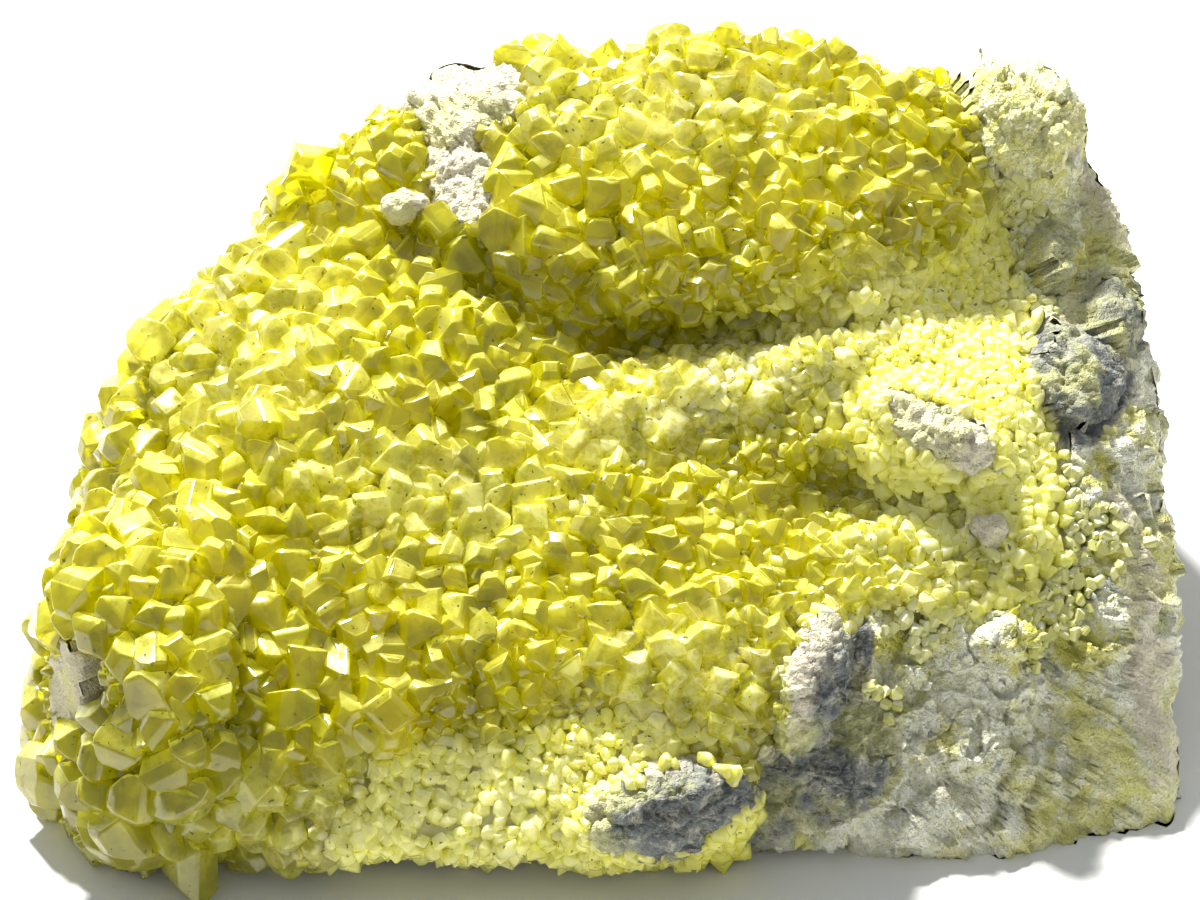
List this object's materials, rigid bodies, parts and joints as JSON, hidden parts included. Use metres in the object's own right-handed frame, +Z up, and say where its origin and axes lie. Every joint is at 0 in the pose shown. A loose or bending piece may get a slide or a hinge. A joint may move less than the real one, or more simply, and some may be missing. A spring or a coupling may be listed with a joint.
{
  "type": "native sulfur crystal specimen",
  "caption": "Loose hand specimen of native sulfur: a crust of intergrown blocky yellow crystals on a pale, rough block of host rock with a flat broken base.",
  "frame": {"origin": "centre of the flat base that the block rests on", "axes": "+X along the block's length, to the right as one faces the crystals; +Y away from the viewer, towards the back; +Z up, away from the surface it rests on"},
  "size_m": [0.1158, 0.0918, 0.0552],
  "materials": {
    "host_rock": "rough, powdery, with a yellow-green tinge",
    "sulfur": "resinous, translucent"
  },
  "bodies": {
    "root": {"matrix_rock": "host_rock", "sulfur_crust": "sulfur", "matrix_chip_left": "host_rock", "matrix_chip_right": "host_rock"}
  },
  "joints": []
}
